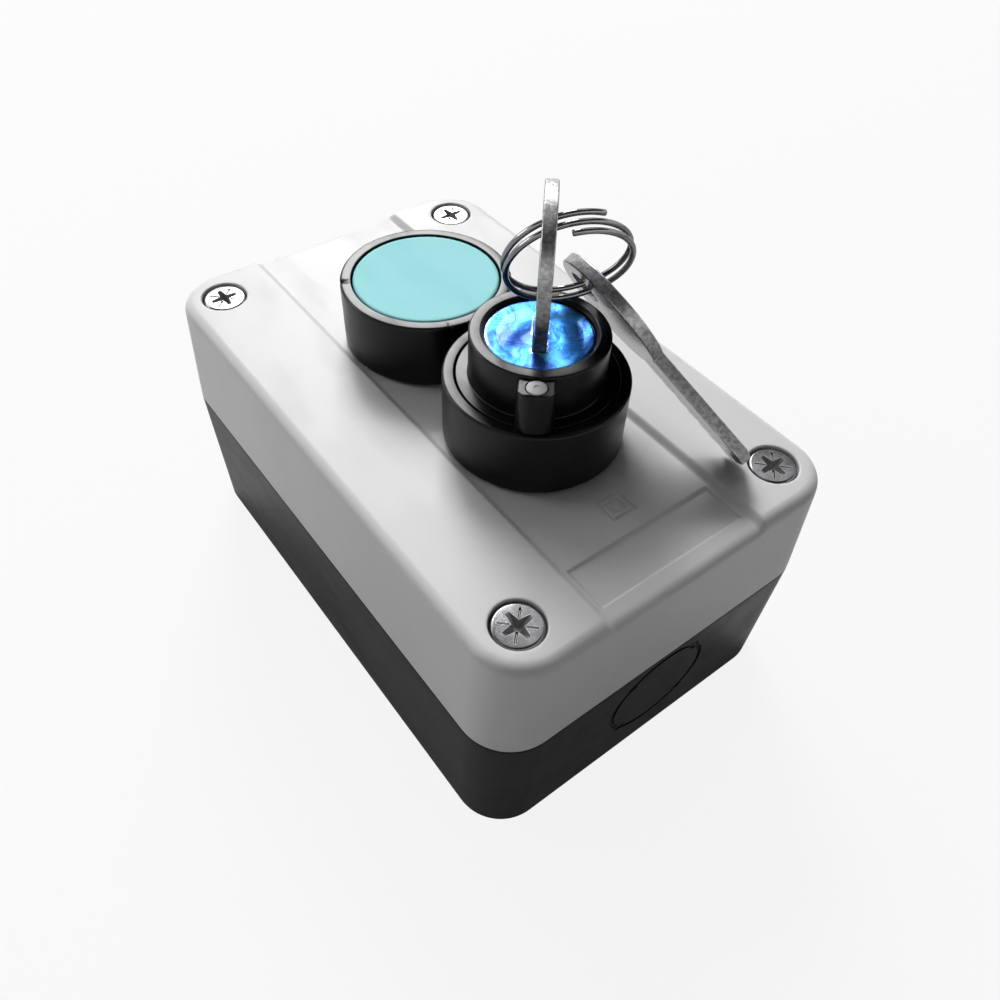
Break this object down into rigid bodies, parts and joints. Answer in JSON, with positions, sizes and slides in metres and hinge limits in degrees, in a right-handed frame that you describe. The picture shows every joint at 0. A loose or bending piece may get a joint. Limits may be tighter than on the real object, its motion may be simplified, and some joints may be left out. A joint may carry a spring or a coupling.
{
  "type": "key push button switch",
  "caption": "Two-part wall box with a flush push button and a turning key switch, a key in the lock and a spare on its split ring.",
  "frame": {"origin": "centre of the base's flat back, which lies against the wall or on a table", "axes": "+Z out of the cover, +Y along the box toward the push button, +X to the right with the push button up"},
  "size_m": [0.068, 0.104, 0.09],
  "materials": {
    "black_base": "fine texture",
    "grey_cover": "satin",
    "seal_rubber": "matt",
    "zinc_screw": "bright zinc",
    "black_head": "satin",
    "nut_plastic": "satin",
    "aqua_cap": "soft gloss",
    "inner_black": "satin",
    "spring_steel": "bright",
    "block_plastic": "satin",
    "white_plastic": "satin",
    "contact_brass": "bright",
    "blue_face": "metallic gloss",
    "lock_metal": "cast zinc",
    "key_steel": "nickel plated",
    "ring_steel": "bright"
  },
  "bodies": {
    "box": {"base": "black_base", "cover": "grey_cover", "cover_seal": "seal_rubber", "cover_screws": "zinc_screw", "button_bezel": "black_head", "button_seal": "seal_rubber", "button_nut": "nut_plastic", "button_plate": "nut_plastic", "button_spring": "spring_steel", "button_block": "block_plastic", "button_contact_spring": "spring_steel", "button_contacts": "contact_brass", "button_terminals": "zinc_screw", "key_bezel": "black_head", "key_seal": "seal_rubber", "key_nut": "nut_plastic", "key_plate": "nut_plastic", "key_block": "block_plastic", "key_contact_spring": "spring_steel", "key_contacts": "contact_brass", "key_terminals": "zinc_screw"},
    "button": {"button_cap": "aqua_cap", "button_stem": "inner_black"},
    "button_contact": {"button_plunger": "white_plastic", "button_bridge": "contact_brass"},
    "lock": {"key_barrel": "black_head", "pointer_dot": "white_plastic", "lock_face": "blue_face", "lock_plug": "lock_metal", "key_cam": "white_plastic"},
    "key_contact": {"key_plunger": "white_plastic", "key_bridge": "contact_brass"},
    "first_key": {"inserted_key": "key_steel"},
    "ring": {"key_ring": "ring_steel"},
    "second_key": {"spare_key": "key_steel"}
  },
  "joints": [
    {"name": "button_press", "type": "slide", "parent": "box", "child": "button", "axis": [0, 0, -1], "range_m": [0, 0.0045], "stiffness_N_per_m": 600, "springref_m": -0.004, "deforming": ["button_spring"]},
    {"name": "button_contact_slide", "type": "slide", "parent": "box", "child": "button_contact", "axis": [0, 0, -1], "range_m": [0, 0.0045], "deforming": ["button_contact_spring"]},
    {"name": "key_turn", "type": "hinge", "parent": "box", "child": "lock", "pos_m": [0, -0.0152, 0.0601], "axis": [0, 0, 1], "range_deg": [-90, 0]},
    {"name": "key_contact_slide", "type": "slide", "parent": "box", "child": "key_contact", "axis": [0, 0, -1], "range_m": [0, 0.004], "deforming": ["key_contact_spring"]},
    {"name": "key_withdraw", "type": "slide", "parent": "lock", "child": "first_key", "axis": [0, 0, 1], "range_m": [0, 0.021]},
    {"name": "ring_swing", "type": "hinge", "parent": "first_key", "child": "ring", "pos_m": [-0.00044, -0.01571, 0.08471], "axis": [0.7547, -0.6561, 0], "range_deg": [0, 50]},
    {"name": "spare_swing", "type": "hinge", "parent": "ring", "child": "second_key", "pos_m": [0.01064, -0.01368, 0.07067], "axis": [-0.8348, 0.0959, -0.5421], "range_deg": [0, 30]}
  ],
  "couplings": [
    {"joint": "button_contact_slide", "follows": "button_press", "ratio": 1},
    {"joint": "key_turn", "follows": "key_contact_slide", "rad_per_m": -392.69}
  ]
}
